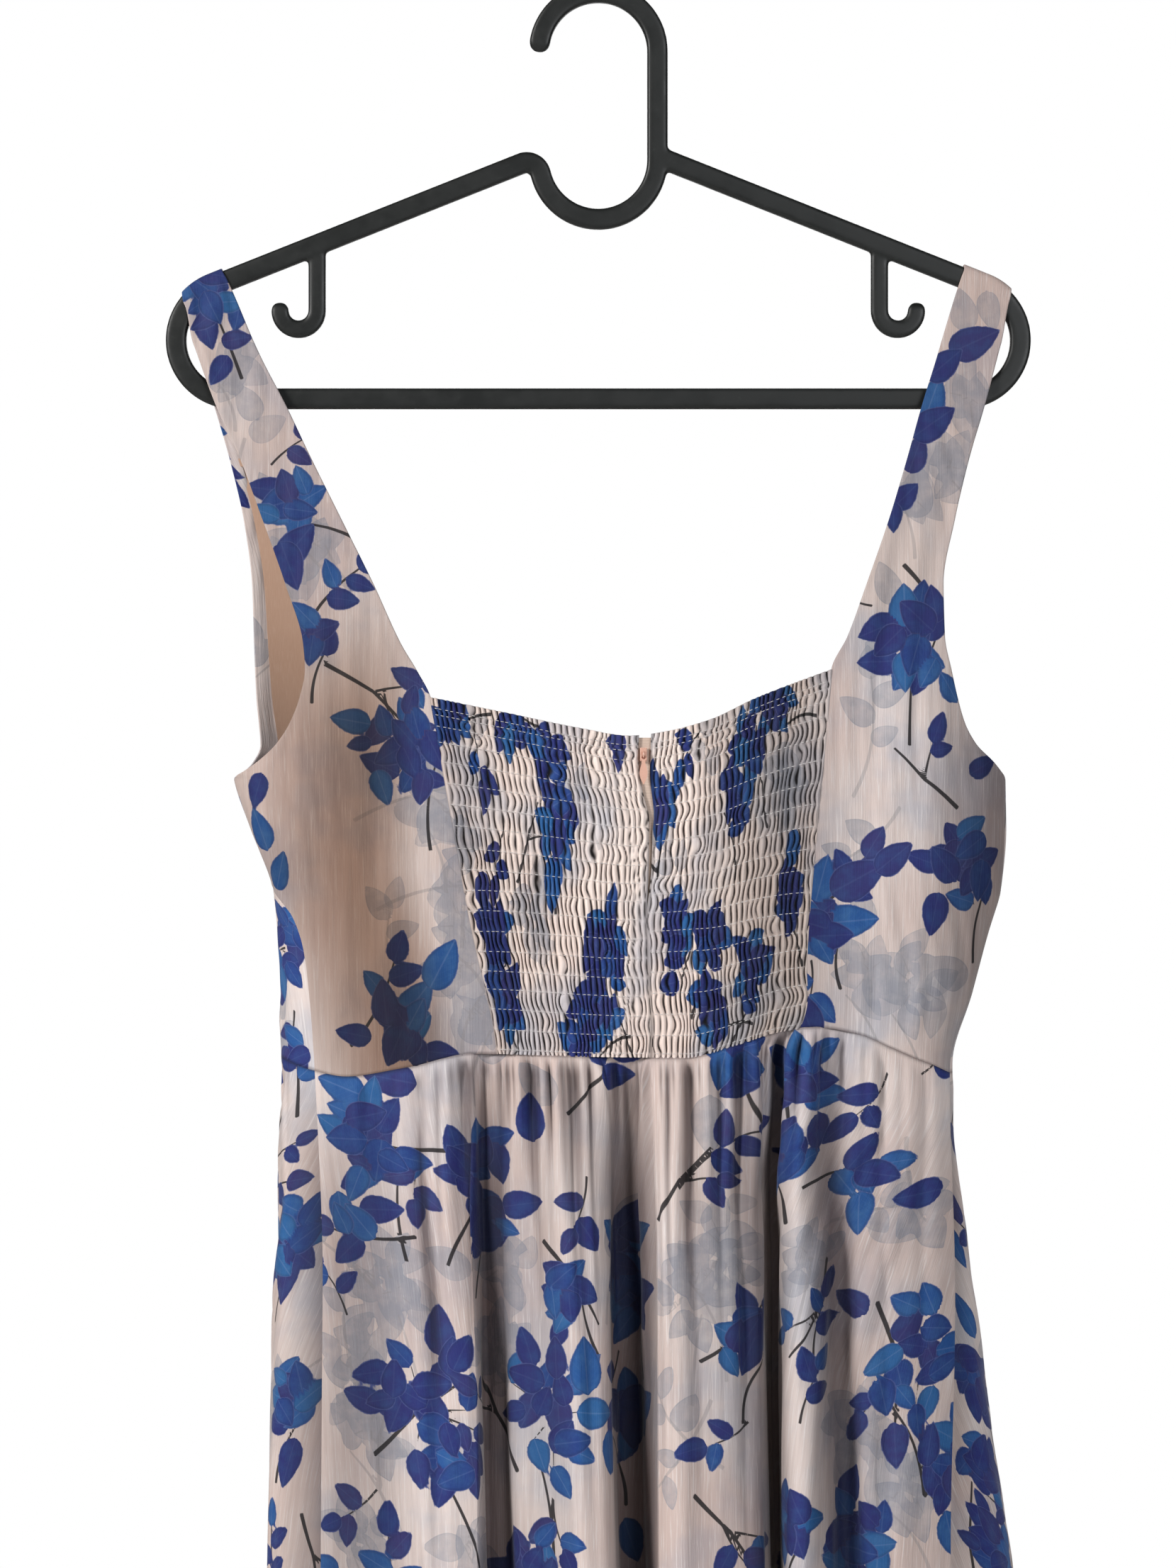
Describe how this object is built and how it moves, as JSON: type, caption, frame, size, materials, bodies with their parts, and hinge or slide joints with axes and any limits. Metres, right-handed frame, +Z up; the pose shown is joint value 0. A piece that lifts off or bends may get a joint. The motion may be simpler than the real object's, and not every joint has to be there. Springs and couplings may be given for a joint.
{
  "type": "midi dress on hanger",
  "caption": "Sleeveless midi dress with a shirred back panel and a gathered A-line skirt, hung by its straps from a moulded hanger.",
  "frame": {"origin": "top of the space inside the hanger's hook, where it sits on a rail", "axes": "+Z up along the hanging dress, back of the dress facing -Y, +X to the right of someone who looks at that back"},
  "size_m": [0.4661, 0.2293, 1.3001],
  "materials": {
    "hanger_plastic": "satin moulded",
    "printed_chiffon": "matt crinkled weave with a printed leaf pattern",
    "shirred_chiffon": "matt gathered weave with a printed leaf pattern",
    "lining_cloth": "plain soft weave",
    "zip_tape_cloth": "plain tape",
    "zip_metal": "satin paint"
  },
  "bodies": {
    "body": {"hanger_hook": "hanger_plastic", "hanger_yoke": "hanger_plastic", "hanger_arm_left": "hanger_plastic", "hanger_arm_right": "hanger_plastic", "hanger_end_left": "hanger_plastic", "hanger_end_right": "hanger_plastic", "hanger_bar": "hanger_plastic", "strap_hook_left": "hanger_plastic", "strap_hook_right": "hanger_plastic", "back_side_left": "printed_chiffon", "back_side_right": "printed_chiffon", "front_left": "printed_chiffon", "front_right": "printed_chiffon", "skirt_back_left": "printed_chiffon", "skirt_back_right": "printed_chiffon", "skirt_front": "printed_chiffon", "shirring_left": "shirred_chiffon", "shirring_right": "shirred_chiffon", "front_lining_left": "lining_cloth", "front_lining_right": "lining_cloth", "zip_tape": "zip_tape_cloth", "zip_slider": "zip_metal"},
    "zip_pull_tab": {"zip_pull": "zip_metal"}
  },
  "joints": [
    {"name": "zip_pull_swing", "type": "hinge", "parent": "body", "child": "zip_pull_tab", "pos_m": [0.02144, -0.03853, -0.365], "axis": [-1, 0, 0], "range_deg": [0, 100]}
  ]
}
